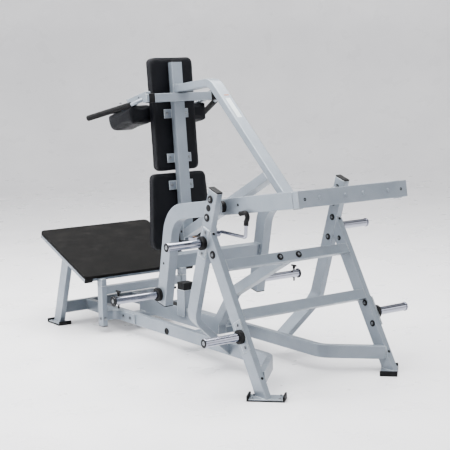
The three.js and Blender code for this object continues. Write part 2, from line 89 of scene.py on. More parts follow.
# ------------------------------------------------------------------ materials
class Nodes:
    """A small helper that adds and links shader nodes."""

    def __init__(self, name):
        self.mat = bpy.data.materials.new(name)
        self.mat.use_nodes = True
        self.tree = self.mat.node_tree
        self.bsdf = self.tree.nodes["Principled BSDF"]
        self.place = self.add("ShaderNodeTexCoord").outputs["Object"]

    def add(self, kind, **values):
        node = self.tree.nodes.new(kind)
        for key, value in values.items():
            if key in node.inputs:
                node.inputs[key].default_value = value
            else:
                setattr(node, key, value)
        return node

    def link(self, a, b):
        self.tree.links.new(a, b)

    def noise(self, scale, detail=3.0, roughness=0.5, stretch=None):
        n = self.add("ShaderNodeTexNoise", Scale=scale, Detail=detail, Roughness=roughness)
        if stretch:
            m = self.add("ShaderNodeMapping", Scale=stretch)
            self.link(self.place, m.inputs["Vector"])
            self.link(m.outputs[0], n.inputs["Vector"])
        else:
            self.link(self.place, n.inputs["Vector"])
        return n.outputs["Fac"]

    def ramp(self, fac, stops):
        r = self.add("ShaderNodeValToRGB")
        while len(r.color_ramp.elements) < len(stops):
            r.color_ramp.elements.new(0.5)
        for e, (pos, color) in zip(r.color_ramp.elements, stops):
            e.position = pos
            e.color = (*color, 1) if len(color) == 3 else color
        self.link(fac, r.inputs["Fac"])
        return r.outputs["Color"]

    def scalar(self, fac, low, high, start=0.0, end=1.0):
        m = self.add("ShaderNodeMapRange")
        for key, value in (("From Min", start), ("From Max", end), ("To Min", low), ("To Max", high)):
            m.inputs[key].default_value = value
        self.link(fac, m.inputs["Value"])
        return m.outputs["Result"]

    def mix(self, fac, a, b, blend="MIX"):
        m = self.add("ShaderNodeMix", data_type="RGBA", blend_type=blend)
        for value, socket in ((fac, m.inputs[0]), (a, m.inputs[6]), (b, m.inputs[7])):
            if hasattr(value, "is_output"):
                self.link(value, socket)
            elif isinstance(value, tuple):
                socket.default_value = (*value, 1)
            else:
                socket.default_value = value
        return m.outputs[2]

    def edges(self, radius, sharp=0.97):
        """(rounded-edge normal, mask that is 1 along edges, where some materials paint a highlight)."""
        bevel = self.add("ShaderNodeBevel", samples=6, Radius=radius)
        dot = self.add("ShaderNodeVectorMath", operation="DOT_PRODUCT")
        self.link(bevel.outputs[0], dot.inputs[0])
        self.link(self.add("ShaderNodeNewGeometry").outputs["Normal"], dot.inputs[1])
        return bevel.outputs[0], self.scalar(dot.outputs["Value"], 1.0, 0.0, 0.75, sharp)

    def bump(self, height, strength, distance, normal=None):
        b = self.add("ShaderNodeBump", Strength=strength, Distance=distance)
        self.link(height, b.inputs["Height"])
        if normal is not None:
            self.link(normal, b.inputs["Normal"])
        self.link(b.outputs[0], self.bsdf.inputs["Normal"])

    def set(self, **values):
        for key, value in values.items():
            socket = self.bsdf.inputs[key.replace("_", " ")]
            if hasattr(value, "is_output"):
                self.link(value, socket)
            else:
                is_color = isinstance(value, tuple) and len(value) == 3
                socket.default_value = (*value, 1) if is_color else value
        return self


def silver_paint():
    n = Nodes("silver_powder_coat")
    normal, edge = n.edges(0.0065)
    flow = n.ramp(n.noise(5.5, 4), [(0.3, (0.218, 0.248, 0.284)), (0.7, (0.258, 0.290, 0.328))])
    flake = n.noise(1400, 2)
    speck = n.ramp(flake, [(0.42, (0.82, 0.83, 0.84)), (0.62, (1.12, 1.12, 1.12))])
    base = n.mix(0.5, flow, speck, "MULTIPLY")
    grime = n.scalar(n.noise(14, 6, 0.65), 0.0, 0.16, 0.5, 0.8)
    dusty = n.mix(grime, base, (0.16, 0.175, 0.20))
    # painted highlight: the paint is lightened toward pale silver along every edge, as if light caught
    # the rounded tube corners
    edge_highlighted_paint = n.mix(n.scalar(edge, 0.0, 0.85), dusty, (0.80, 0.84, 0.86))
    n.set(Base_Color=edge_highlighted_paint, Metallic=0.35, Roughness=n.scalar(n.noise(30, 4), 0.34, 0.47, 0.3, 0.7),
          Coat_Weight=0.25, Coat_Roughness=0.22)
    n.bump(n.noise(520, 3), 0.12, 0.0008, normal)
    return n.mat


def chrome_bar():
    n = Nodes("polished_chrome")
    normal, _ = n.edges(0.0008)
    scuff = n.noise(9, 8, 0.7, (60, 1.2, 1.2))
    smear = n.noise(16, 5, 0.6)
    n.set(Base_Color=n.mix(n.scalar(scuff, 0, 0.5, 0.5, 0.75), (0.36, 0.37, 0.425), (0.25, 0.26, 0.30)),
          Metallic=1.0, Roughness=n.scalar(smear, 0.07, 0.20, 0.35, 0.75))
    n.bump(n.noise(300, 3, 0.5, (0.05, 1, 1)), 0.05, 0.0004, normal)
    return n.mat


def black_rubber():
    n = Nodes("moulded_rubber")
    normal, edge = n.edges(0.0012)
    tone = n.ramp(n.noise(45, 5, 0.6), [(0.3, (0.006, 0.006, 0.007)), (0.72, (0.015, 0.0155, 0.0165))])
    # painted highlight: the rubber is lightened along every edge
    n.set(Base_Color=n.mix(n.scalar(edge, 0, 0.55), tone, (0.045, 0.047, 0.05)),
          Roughness=n.scalar(n.noise(60, 3), 0.5, 0.72, 0.3, 0.7), Specular_IOR_Level=0.25)
    n.bump(n.noise(700, 4, 0.6), 0.25, 0.0007, normal)
    return n.mat


def grip_rubber():
    n = Nodes("grip_rubber")
    wave = n.add("ShaderNodeTexVoronoi", Scale=420.0)
    n.link(n.place, wave.inputs["Vector"])
    tone = n.ramp(n.noise(30, 4), [(0.3, (0.007, 0.007, 0.008)), (0.7, (0.017, 0.017, 0.018))])
    n.set(Base_Color=tone, Roughness=n.scalar(n.noise(80, 3), 0.5, 0.7, 0.3, 0.7),
          Specular_IOR_Level=0.2)
    n.bump(wave.outputs["Distance"], 0.35, 0.0009)
    return n.mat


def black_plastic():
    n = Nodes("black_plastic")
    normal, edge = n.edges(0.0009)
    tone = n.ramp(n.noise(60, 3), [(0.3, (0.005, 0.005, 0.006)), (0.7, (0.012, 0.012, 0.013))])
    # painted highlight: the plastic is lightened along every edge
    n.set(Base_Color=n.mix(n.scalar(edge, 0, 0.5), tone, (0.06, 0.06, 0.065)),
          Roughness=n.scalar(n.noise(90, 2), 0.45, 0.62, 0.3, 0.7), Specular_IOR_Level=0.25)
    n.bump(n.noise(900, 2), 0.12, 0.0005, normal)
    return n.mat


def zinc():
    n = Nodes("plated_steel")
    normal, _ = n.edges(0.0006)
    tone = n.ramp(n.noise(140, 5, 0.6), [(0.3, (0.13, 0.14, 0.155)), (0.7, (0.34, 0.355, 0.375))])
    n.set(Base_Color=tone, Metallic=1.0, Roughness=n.scalar(n.noise(200, 3), 0.24, 0.42, 0.3, 0.7))
    n.bump(n.noise(600, 2), 0.1, 0.0003, normal)
    return n.mat


def leather(name="black_vinyl", tint=(0.0040, 0.0048, 0.0078)):
    n = Nodes(name)
    cells = n.add("ShaderNodeTexVoronoi", Scale=640.0, feature="DISTANCE_TO_EDGE")
    warp = n.add("ShaderNodeVectorMath", operation="MULTIPLY_ADD")
    rough = n.add("ShaderNodeTexNoise", Scale=160.0, Detail=2.0)
    n.link(n.place, rough.inputs["Vector"])
    n.link(rough.outputs["Color"], warp.inputs[0])
    warp.inputs[1].default_value = (0.0035, 0.0035, 0.0035)
    n.link(n.place, warp.inputs[2])
    n.link(warp.outputs[0], cells.inputs["Vector"])
    soft = n.scalar(cells.outputs["Distance"], 0.0, 1.0, 0.0, 0.22)
    worn = n.noise(7, 5, 0.6)
    tone = n.mix(n.scalar(worn, 0, 0.7, 0.45, 0.75), tint, (0.010, 0.011, 0.0145))
    # painted shade: the vinyl is darkened in the creases between the grain's cells
    painted_crease_shade = n.mix(n.scalar(soft, 0.5, 0.0), tone, (0.003, 0.003, 0.004))
    n.set(Base_Color=painted_crease_shade, Roughness=n.scalar(worn, 0.38, 0.58, 0.3, 0.7), Specular_IOR_Level=0.22)
    height = n.add("ShaderNodeMath", operation="MULTIPLY_ADD")
    n.link(soft, height.inputs[0])
    height.inputs[1].default_value = 0.6
    n.link(n.noise(90, 4, 0.55), height.inputs[2])
    n.bump(height.outputs[0], 0.4, 0.0011)
    return n.mat


def deck_rubber():
    n = Nodes("mottled_rubber_deck")
    normal, edge = n.edges(0.003)
    cloud = n.noise(9, 6, 0.62, (1.0, 2.2, 1.0))
    tone = n.ramp(cloud, [(0.25, (0.0035, 0.0035, 0.0038)), (0.5, (0.0085, 0.0082, 0.0082)),
                          (0.75, (0.021, 0.020, 0.0195))])
    crumb = n.add("ShaderNodeTexVoronoi", Scale=420.0)
    n.link(n.place, crumb.inputs["Vector"])
    fleck = n.ramp(crumb.outputs["Distance"], [(0.08, (1.7, 1.68, 1.62)), (0.3, (0.9, 0.9, 0.9))])
    base = n.mix(0.45, tone, fleck, "MULTIPLY")
    # painted highlight: the deck rubber is lightened along every edge
    n.set(Base_Color=n.mix(n.scalar(edge, 0, 0.5), base, (0.012, 0.012, 0.013)),
          Roughness=n.scalar(cloud, 0.62, 0.82, 0.3, 0.7), Specular_IOR_Level=0.16)
    n.bump(crumb.outputs["Distance"], 0.5, 0.0012, normal)
    return n.mat


def decal(name, a, b):
    n = Nodes(name)
    n.set(Base_Color=n.ramp(n.noise(60, 3), [(0.3, a), (0.7, b)]),
          Roughness=n.scalar(n.noise(40, 2), 0.3, 0.42, 0.3, 0.7))
    n.bump(n.noise(300, 2), 0.05, 0.0003)
    return n.mat


SILVER, CHROME, RUBBER, GRIP = silver_paint(), chrome_bar(), black_rubber(), grip_rubber()
PLASTIC, ZINC, LEATHER, DECK = black_plastic(), zinc(), leather(), deck_rubber()
PIPING = leather("black_piping", (0.007, 0.0075, 0.010))
COPPER = decal("copper_stripe", (0.30, 0.075, 0.018), (0.36, 0.10, 0.03))
LABEL = decal("plain_label", (0.50, 0.55, 0.56), (0.58, 0.62, 0.63))
BRONZE = decal("bronze_liner", (0.20, 0.13, 0.085), (0.27, 0.18, 0.12))

for name, obj in frame["nodes"].items():
    if name == "platform_deck":
        mat = DECK
    elif name.endswith("_pad"):
        mat = LEATHER
    elif "horn" in name or name == "lockout_lever":
        mat = CHROME
    elif name.endswith("grip"):
        mat = GRIP
    elif "lock_pin" in name:
        mat = PLASTIC
    elif any(word in name for word in ("shoe", "collar", "strip", "bumper")):
        mat = RUBBER
    else:
        mat = SILVER
    for i in range(max(1, len(obj.data.materials))):
        if i < len(obj.data.materials):
            obj.data.materials[i] = mat
        else:
            obj.data.materials.append(mat)


# ------------------------------------------------------------------ mesh building
class Mesh:
    """Collects turned, swept and boxed shapes into one piece."""

    def __init__(self):
        self.bm = bmesh.new()

    def lathe(self, profile, at, axis, sides=28):
        """profile is [(radius, height)] in mm from the axis, starting and ending on it."""
        turn = axis.to_track_quat("Z", "Y").to_matrix()
        rings = []
        for r, h in profile:
            if r < 1e-6:
                rings.append([self.bm.verts.new(at + turn @ Vector((0, 0, h / 1000)))])
                continue
            rings.append([self.bm.verts.new(at + turn @ Vector(
                (r / 1000 * math.cos(a), r / 1000 * math.sin(a), h / 1000)))
                for a in (2 * math.pi * k / sides for k in range(sides))])
        for low, high in zip(rings, rings[1:]):
            for k in range(sides):
                j = (k + 1) % sides
                quad = [low[k % len(low)], low[j % len(low)], high[j % len(high)], high[k % len(high)]]
                unique = list(dict.fromkeys(quad))
                if len(unique) > 2:
                    self.bm.faces.new(unique)
        return self

    def prism(self, sides, radius, low, high, at, axis, bevel=0.8):
        """Hexagonal head with a chamfered top."""
        profile = [(0, low), (radius, low), (radius, high - bevel), (radius - bevel, high), (0, high)]
        return self.lathe(profile, at, axis, sides)

    def tube(self, points, radius, closed=False, sides=8, ripple=0.0):
        """Round cord or bead along points, in metres; ripple roughens a weld bead."""
        count = len(points)
        rings, side = [], None
        for i, p in enumerate(points):
            before = points[i - 1] if i or closed else points[i]
            after = points[(i + 1) % count] if i < count - 1 or closed else points[i]
            along = (after - before).normalized()
            if side is None:
                side = along.orthogonal().normalized()
            side = (side - along * side.dot(along)).normalized()
            other = along.cross(side)
            r = radius / 1000 * (1 + ripple * math.sin(i * 2.1) * (0.6 + 0.4 * math.sin(i * 0.73)))
            rings.append([self.bm.verts.new(p + (side * math.cos(a) + other * math.sin(a)) * r)
                          for a in (2 * math.pi * k / sides for k in range(sides))])
        pairs = list(zip(rings, rings[1:])) + ([(rings[-1], rings[0])] if closed else [])
        for n, (low, high) in enumerate(pairs):
            shift = 0
            if closed and n == len(pairs) - 1:  # line the seam up
                shift = min(range(sides), key=lambda s: (low[0].co - high[s].co).length)
            for k in range(sides):
                self.bm.faces.new([low[k], low[(k + 1) % sides], high[(k + 1 + shift) % sides],
                                   high[(k + shift) % sides]])
        if not closed:
            self.bm.faces.new(rings[0][::-1])
            self.bm.faces.new(rings[-1])
        return self

    def box(self, matrix, x0, x1, y0, y1, z0, z1, bevel=1.0, segments=2):
        """Box with rounded edges in the mm coordinates of matrix."""
        made = bmesh.ops.create_cube(self.bm, size=1)["verts"]
        for v in made:
            v.co = Vector([low if c < 0 else high
                           for c, low, high in zip(v.co, (x0, y0, z0), (x1, y1, z1))])
        edges = list({e for v in made for e in v.link_edges})
        result = bmesh.ops.bevel(self.bm, geom=edges, offset=bevel, segments=segments, affect="EDGES",
                                 profile=0.5)
        touched = {v for f in result["faces"] for v in f.verts} | {v for v in made if v.is_valid}
        for v in touched:
            v.co = matrix @ v.co
        return self

    def piece(self, name, material, body, slot, smooth=35):
        bmesh.ops.recalc_face_normals(self.bm, faces=self.bm.faces)
        mesh = bpy.data.meshes.new(name)
        self.bm.to_mesh(mesh)
        self.bm.free()
        for poly in mesh.polygons:
            poly.use_smooth = True
        mesh.set_sharp_from_angle(angle=math.radians(smooth))
        obj = bpy.data.objects.new(name, mesh)
        bpy.context.scene.collection.objects.link(obj)
        mesh.materials.append(material)
        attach(obj, body)
        return obj


MM = Matrix.Translation(Vector((0, PIVOT_Y, 0))) @ Matrix.Scale(0.001, 4)  # mm from the pivot line


def spot(matrix, x, y, z):
    return matrix @ Vector((x, y, z))


def direction(matrix, axis):
    return (matrix.to_3x3() @ axis).normalized()


def rounded(width, height, radius, steps=5):
    """Outline of a rounded rectangle centred on the origin, as (u, v) in mm, anticlockwise."""
    points = []
    for cx, cy, start in ((1, -1, -90), (1, 1, 0), (-1, 1, 90), (-1, -1, 180)):
        for k in range(steps + 1):
            a = math.radians(start + 90 * k / steps)
            points.append((cx * (width / 2 - radius) + radius * math.cos(a),
                           cy * (height / 2 - radius) + radius * math.sin(a)))
    return points


def resample(points, step, closed=True):
    """Points an even step apart along a polyline, in metres."""
    run = list(points) + ([points[0]] if closed else [])
    total = sum((b - a).length for a, b in zip(run, run[1:]))
    count = max(4, round(total / step))
    out, k, passed = [], 0, 0.0
    for i in range(count + (0 if closed else 1)):
        want = total * i / count
        while k < len(run) - 2 and passed + (run[k + 1] - run[k]).length < want:
            passed += (run[k + 1] - run[k]).length
            k += 1
        seg = run[k + 1] - run[k]
        out.append(run[k] + seg * min(1.0, (want - passed) / max(seg.length, 1e-9)))
    return out


# ------------------------------------------------------------------ upholstery
CLOTH_FRAMES = 20
GROOVE_WIDTH, GROOVE_DEPTH = 0.009, 0.0016  # metres


def shrunk_copy(node, shrink):
    """A free copy of a CAD node's mesh, shrunk by `shrink` metres along its normals."""
    source = frame["nodes"][node]
    mesh = source.data.copy()
    obj = bpy.data.objects.new(node + "_cover", mesh)
    bpy.context.scene.collection.objects.link(obj)
    bm = bmesh.new()
    bm.from_mesh(mesh)
    bmesh.ops.remove_doubles(bm, verts=bm.verts, dist=1e-5)
    bm.normal_update()
    for v in bm.verts:
        v.co -= v.normal * shrink
    bm.to_mesh(mesh)
    bm.free()
    return obj


def only(obj):
    """Makes obj the one selected and active object, for an operator."""
    bpy.ops.object.select_all(action="DESELECT")
    obj.select_set(True)
    bpy.context.view_layer.objects.active = obj


def spans(points):
    """(lowest, highest) of the points along each of the three axes."""
    return [(min(p[k] for p in points), max(p[k] for p in points)) for k in range(3)]


def refit(obj, node, local, grow):
    """Stretches a simulated cover back to the CAD block's size, plus grow mm at each face of local."""
    back = local.inverted()
    want = spans([back @ v.co for v in frame["nodes"][node].data.vertices])
    have = spans([back @ v.co for v in obj.data.vertices])
    for v in obj.data.vertices:
        p = back @ v.co
        v.co = local @ Vector([w[0] - g[0] + (c - h[0]) / (h[1] - h[0]) * (w[1] - w[0] + g[0] + g[1])
                               for c, w, h, g in zip(p, want, have, grow)])


def upholster(node, cap, local, grow, voxel=0.006, shrink=0.004, pressure=4.0):
    """Foam pad under vinyl: the CAD block remeshed, blown up as cloth, no point moving past `cap` m."""
    obj = shrunk_copy(node, shrink)
    voxel *= 1
    only(obj)
    mod = obj.modifiers.new("remesh", "REMESH")
    mod.mode = "VOXEL"
    mod.voxel_size = voxel
    bpy.ops.object.modifier_apply(modifier="remesh")
    rest = [v.co.copy() for v in obj.data.vertices]
    cloth = obj.modifiers.new("cloth", "CLOTH")
    s = cloth.settings
    s.quality = 4
    s.mass = 0.3
    s.tension_stiffness = s.compression_stiffness = 25
    s.shear_stiffness = 12
    s.bending_stiffness = 1.5
    s.use_pressure = True
    s.uniform_pressure_force = pressure
    s.effector_weights.gravity = 0
    cloth.collision_settings.use_collision = False
    cloth.point_cache.frame_start, cloth.point_cache.frame_end = 1, CLOTH_FRAMES
    for f in range(1, CLOTH_FRAMES + 1):
        bpy.context.scene.frame_set(f)
    bpy.ops.object.modifier_apply(modifier="cloth")
    bpy.context.scene.frame_set(1)
    for v, r in zip(obj.data.vertices, rest):
        move = v.co - r
        if move.length > cap:
            v.co = r + move.normalized() * cap
    smooth = obj.modifiers.new("even", "SMOOTH")
    smooth.factor, smooth.iterations = 0.5, 4
    bpy.ops.object.modifier_apply(modifier="even")
    refit(obj, node, local, grow)
    finer = obj.modifiers.new("finer", "SUBSURF")
    finer.levels = finer.render_levels = 1
    bpy.ops.object.modifier_apply(modifier="finer")
    for poly in obj.data.polygons:
        poly.use_smooth = True
    obj.data.materials.clear()
    obj.data.materials.append(LEATHER)
    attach(obj, LEVER)
    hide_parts(node)
    return obj


def surface(obj):
    """Search tree over obj's faces."""
    bm = bmesh.new()
    bm.from_mesh(obj.data)
    tree = BVHTree.FromBMesh(bm)
    bm.free()
    return tree


def groove(obj, path, width, depth):
    """Presses a sewn line into the cover along path (points in metres)."""
    kd = KDTree(len(path))
    for i, p in enumerate(path):
        kd.insert(p, i)
    kd.balance()
    for v in obj.data.vertices:
        _, _, d = kd.find(v.co)
        if d < width:
            v.co -= v.normal * depth * (1 - d / width) ** 2


def piping(pad, outline, name, radius=2.2, inset=0.8):
    """Closed cord sewn on the pad's surface, following outline."""
    tree = surface(pad)
    path = []
    for p in resample(outline, 0.006):
        near, normal, _, _ = tree.find_nearest(p)
        path.append(near - normal * inset / 1000)
    groove(pad, path, GROOVE_WIDTH, GROOVE_DEPTH)
    for _ in range(6):
        path = [(path[i - 1] + path[i] * 2 + path[(i + 1) % len(path)]) / 4 for i in range(len(path))]
    return Mesh().tube(path, radius, closed=True, sides=8).piece(name, PIPING, LEVER, "pad_leather", 80)


BACK_GROWTH = ((1.5, 1.5), (4.5, -0.5), (1.5, 1.5))  # mm beyond the block, both ways along X, Y, Z
SHOULDER_GROWTH = ((1.5, 1.5), (1, 0), (3, -0.5))
upper = upholster("upper_back_pad", 0.006, ON_SPINE, BACK_GROWTH)
lower = upholster("lower_back_pad", 0.006, ON_SPINE, BACK_GROWTH)
PAD_BACK = -25 - 6 - 0.3  # half the spine's depth, the pad plate, the gap
UPPER_MIDDLE = (474 + 1226) / 2
for label, depth in (("front", 62), ("rear", 7)):
    outline = [spot(ON_SPINE, u, PAD_BACK - depth, UPPER_MIDDLE + v) for u, v in rounded(332, 752, 42)]
    piping(upper, outline, "upper_pad_piping_" + label)
half_seat = [(174, -50), (222, -38), (241, 0), (239, 35), (211, 413), (204, 440), (168, 455)]
seat_outline = [(-174, -50)] + half_seat + [(-u, v) for u, v in half_seat[:0:-1]]
for label, depth in (("front", 53), ("rear", 7)):
    piping(lower, [spot(ON_SPINE, u, PAD_BACK - depth, v) for u, v in seat_outline],
           "lower_pad_piping_" + label)
for side, s in (("left", 1), ("right", -1)):
    node = side + "_shoulder_pad"
    pad = upholster(node, 0.005, ON_SHOULDER, SHOULDER_GROWTH, voxel=0.005, shrink=0.003)
    block = [ON_SHOULDER.inverted() @ v.co for v in frame["nodes"][node].data.vertices]
    for label, face in (("outer", s), ("inner", -s)):
        edge = max(p.x * face for p in block)
        rim = [(p.y, p.z) for p in block if p.x * face > edge - 0.5]
        cy, cz = (sum(c) / len(rim) for c in zip(*rim))
        rim.sort(key=lambda c: math.atan2(c[1] - cz, c[0] - cy))
        outline = [spot(ON_SHOULDER, face * (edge - 3), cy + (y - cy) * 1.05, cz + (z - cz) * 1.1)
                   for y, z in rim]
        piping(pad, outline, side + "_shoulder_piping_" + label, 1.8)

# ------------------------------------------------------------------ fasteners
washers, bolts, hole_shade_discs, beads = ({body: Mesh() for body in (BASE, LEVER, LOCKOUT)} for _ in range(4))


def big_bolt(body, at, axis, size=24.0):
    """Black cup washer with a domed plated head and a hexagon socket."""
    k = size / 24
    washers[body].lathe([(0, 0), (size, 0), (size, 3.2), (size - 1.2, 4.8), (18 * k, 6.4),
                         (12.4 * k, 6.2), (11.2 * k, 4.2), (0, 4.2)], at, axis, 32)
    bolts[body].lathe([(0, 3.6), (9.8 * k, 3.6), (9.8 * k, 6.0), (8.8 * k, 8.2), (6.8 * k, 9.6),
                       (4.9 * k, 10.2), (4.5 * k, 10.0), (4.2 * k, 5.6), (0, 5.6)], at, axis, 24)


def hex_bolt(body, at, axis, size=9.0):
    """Plated hexagon head on a plain washer."""
    bolts[body].lathe([(0, 0), (size * 1.45, 0), (size * 1.45, 1.4), (size * 1.3, 1.8), (0, 1.8)],
                      at, axis, 24)
    bolts[body].prism(6, size, 1.6, 7.4, at, axis, 1.1)


def nut(body, at, axis, size=10.0):
    """Nut on a black washer, with the bolt's end standing out."""
    washers[body].lathe([(0, 0), (size * 1.7, 0), (size * 1.7, 1.8), (0, 1.8)], at, axis, 24)
    bolts[body].prism(6, size, 1.6, 9.5, at, axis, 1.2)
    bolts[body].lathe([(0, 9), (5.2, 9), (5.2, 13), (4.2, 14), (0, 14)], at, axis, 14)


def hole_shade_disc(body, at, axis, size=8.5):
    """Black disc with a shallow dished middle over a vent hole: painted shade standing in for the dark
    open hole.
    """
    hole_shade_discs[body].lathe([(0, 0), (size, 0), (size, 0.7), (size - 0.8, 1.2), (size - 1.8, 0.9), (0, 0.6)],
                      at, axis, 20)


def bead(body, corners, radius=2.6):
    """Weld bead round a joint, through the corners."""
    beads[body].tube(resample(corners, 0.0042), radius, True, 7, 0.2)


def crossbar_place(top):
    """Local frame of a crossbar whose upper rear edge is at height top on the rear legs."""
    y, z = REAR_LEG_FOOT
    return turned(REAR_LEG_LEAN, y - (top - z) * math.tan(REAR_LEG_LEAN), top)


HEAD_BOLTS = ((17, 1091), (-21, 982), (29, 769))  # y, z on the A-frame's head
for s in (1, -1):
    out, inward = X * s, -X * s
    for y, z in HEAD_BOLTS:
        big_bolt(BASE, P(s * FRAME_OUTER, y, z), out)
        nut(BASE, P(s * FRAME_INNER, y, z), inward, 9)
    washers[BASE].lathe([(0, 0), (20, 0), (20, 2.2), (18.4, 3.6), (8, 4.4), (0, 4.4)],
                        P(s * FRAME_OUTER, -4, 1039), out, 32)
    bushing = [(21, 0.4), (34, 0.4), (34, 30.6), (21, 30.6), (21, 0.4)][::-1]
    washers[LEVER].lathe(bushing, P(s * ARM_X, 0, 1040), out, 32)
    for (y, z), lean in ((UPPER_HORN, -UPRIGHT_LEAN), (LOWER_HORN, REAR_LEG_LEAN)):
        local = turned(lean, y, z)
        for h in (-68, 68):
            hex_bolt(BASE, spot(local, s * (FRAME_OUTER + 6), 0, h), out, 8.5)
            big_bolt(BASE, spot(local, s * FRAME_INNER, 0, h), inward, 20)
        corners = [spot(local, s * FRAME_OUTER, u, v) for u, v in rounded(65, 185, 3, 1)]
        bead(BASE, corners, 2.0)
    # dark discs over vent holes on the uprights and rear legs: painted shade for the open holes
    hole_shade_disc(BASE, spot(ON_REAR_LEG, s * 480, 0, 975), direction(ON_REAR_LEG, Y))
    hole_shade_disc(BASE, spot(ON_REAR_LEG, s * 480, 0, 88), direction(ON_REAR_LEG, Y))
    for x, y in ((-78, -34), (-78, 34), (78, -34), (78, 34)):
        foot = (Matrix.Translation(P(s * 464, 477, 14)) @ Matrix.Rotation(-s * math.radians(45), 4, "Z")
                @ Matrix.Scale(0.001, 4))
        hex_bolt(BASE, spot(foot, x, y, 0), Z, 6)
    for y in (-62, 62):
        for x in (-32, 32):
            hex_bolt(BASE, P(s * (SHOE[0] + x * 0.9), SHOE[1] + y, 14), Z, 5.5)
    # splice bolts, post bolts and the cable grommet on the rail
    for y in (-1500, -1410):
        hex_bolt(BASE, P(s * 222.3, y, 115), out, 9)
    hex_bolt(BASE, P(s * POST_X, POST_REAR, 100), Y, 9)
    hex_bolt(BASE, P(s * POST_X, POST_FRONT, 100), -Y, 9)
    hex_bolt(BASE, P(s * 355, -1589, 100), out, 9)
    grommet = P(s * GROMMET[0], *GROMMET[1:])
    washers[BASE].lathe([(13, 0.4), (22, 0.4), (23, 2.5), (21.5, 5.2), (17, 6.2), (13.5, 5), (13, 0.4)],
                        grommet, out, 32)
    # dark disc in the grommet's middle: painted shade for its open hole
    hole_shade_discs[BASE].lathe([(0, 0.2), (13.4, 0.2), (13.4, 1.2), (0, 0.8)], grommet, out, 24)
    # crossbar bolts, on the rear face of the upper bar, with nuts on the flange
    bar = crossbar_place(CROSSBAR_TOPS[0])
    big_bolt(BASE, spot(bar, s * 70, 0, -31), direction(bar, Y), 21)
    nut(BASE, spot(bar, s * 70, -48.4, -31), direction(bar, -Y))
    # lever frame
    # dark discs on the arms and rear crossbeam: painted shade in place of vent holes
    hole_shade_disc(LEVER, P(s * ARM_X, 147, 1062), out)
    hole_shade_disc(LEVER, P(s * ARM_X, -669, 618), out)
    hole_shade_disc(LEVER, P(s * LOWER_ARM_X, -591, 470), (Y * math.cos(0.206) - Z * math.sin(0.206)))
    beam = turned(ARM_RISE, CROSSBEAM_Y, 1129)
    hole_shade_disc(LEVER, spot(beam, s * 352, 25, 4), direction(beam, Y), 9)
    for x in (250, 65):
        beads[LEVER].lathe([(0, 0), (13, 0), (13, 1.8), (11.5, 4.2), (6.5, 6.4), (0, 7.0)],
                           spot(beam, s * x, 25, 4), direction(beam, Y), 20)
    for h in (375, 556, 852):
        hex_bolt(LEVER, spot(ON_SPINE, s * 74, -25 + 1, h), direction(ON_SPINE, Y), 8)
    for y in (0, -97):
        hex_bolt(LEVER, spot(ON_SHOULDER, s * 276, y - 5, -3), direction(ON_SHOULDER, Z), 7)
    for y in (-110, -190):
        hex_bolt(LEVER, spot(ON_SHOULDER, s * 272, y, -40), direction(ON_SHOULDER, Z), 7)
    # dark disc on the shoulder bracket: painted shade for a vent hole
    hole_shade_disc(LEVER, spot(ON_SHOULDER, s * 290.5, 165, -22), out, 6)

# dark discs on the spine: painted shade in place of vent holes
hole_shade_disc(LEVER, spot(ON_SPINE, 0, 25, 60), direction(ON_SPINE, Y))
hole_shade_disc(LEVER, spot(ON_SPINE, 40, 0, 60), X)
big_bolt(BASE, P(FRAME_INNER - 14, -28 + 12, 880 + 30), -X, 10)
big_bolt(LOCKOUT, P(414, -28, 880), -X, 15)


# ------------------------------------------------------------------ weld beads at the main joints
def rectangle(matrix, axis, at, u0, u1, v0, v1):
    """Corners of a rectangle square to a local axis, in the local coordinates of matrix (mm)."""
    place = {"x": lambda u, v: (at, u, v), "y": lambda u, v: (u, at, v)}[axis]
    return [spot(matrix, *place(u, v)) for u, v in ((u0, v0), (u1, v0), (u1, v1), (u0, v1))]


for s in (1, -1):
    for top in CROSSBAR_TOPS:
        bead(BASE, rectangle(crossbar_place(top), "x", s * 459.6, -40.5, 0.4, -62.4, 0.4), 2.4)
    bead(BASE, rectangle(MM, "x", s * 411.6, -2080.4, -2040, 74.6, 155.4), 2.4)
    bead(BASE, rectangle(MM, "y", -2039.8, s * 174.6, s * 215.4, 74.6, 155.4), 2.2)
    bead(BASE, rectangle(MM, "x", s * 314.6, -1609.4, -1568.6, 269.6, 330.4), 2.2)
    torque = turned(ARM_RISE, 68, 1046.4)
    bead(LEVER, rectangle(torque, "x", s * 334.7, -50.4, 50.4, -40.4, 40.4), 2.6)
    low_cross = turned(-ARM_FOOT_LEAN, -658.5, 630)
    bead(LEVER, rectangle(low_cross, "x", s * 334.7, -25.4, 25.4, -45.4, 45.4), 2.4)
    beam = turned(ARM_RISE, CROSSBEAM_Y, 1131.5)
    bead(LEVER, rectangle(beam, "y", -25.2, s * 334.6, s * 398.4, -47, 47), 2.4)
    bead(LEVER, rectangle(ON_DECK, "x", s * 391.7, 640, 700, -52.8, -22), 2.0)
bead(LEVER, rectangle(ON_SPINE, "y", 25.4, -40.5, 40.5, 991, 1043), 2.4)
bead(LEVER, rectangle(ON_SPINE, "y", 25.4, -40.5, 40.5, 6, 72), 2.4)

for made, ending, material, slot, smooth in (
        (washers, "_washers", PLASTIC, "black_plastic", 35), (bolts, "_bolts", ZINC, "chrome_bar", 35),
        # dark discs over the vent holes: painted shade
        (hole_shade_discs, "_plugs", PLASTIC, "black_plastic", 35),
        (beads, "_weld_beads", SILVER, "silver_paint", 60)):
    for body, mesh in made.items():
        if mesh.bm.verts:
            mesh.piece(body + ending, material, body, slot, smooth)

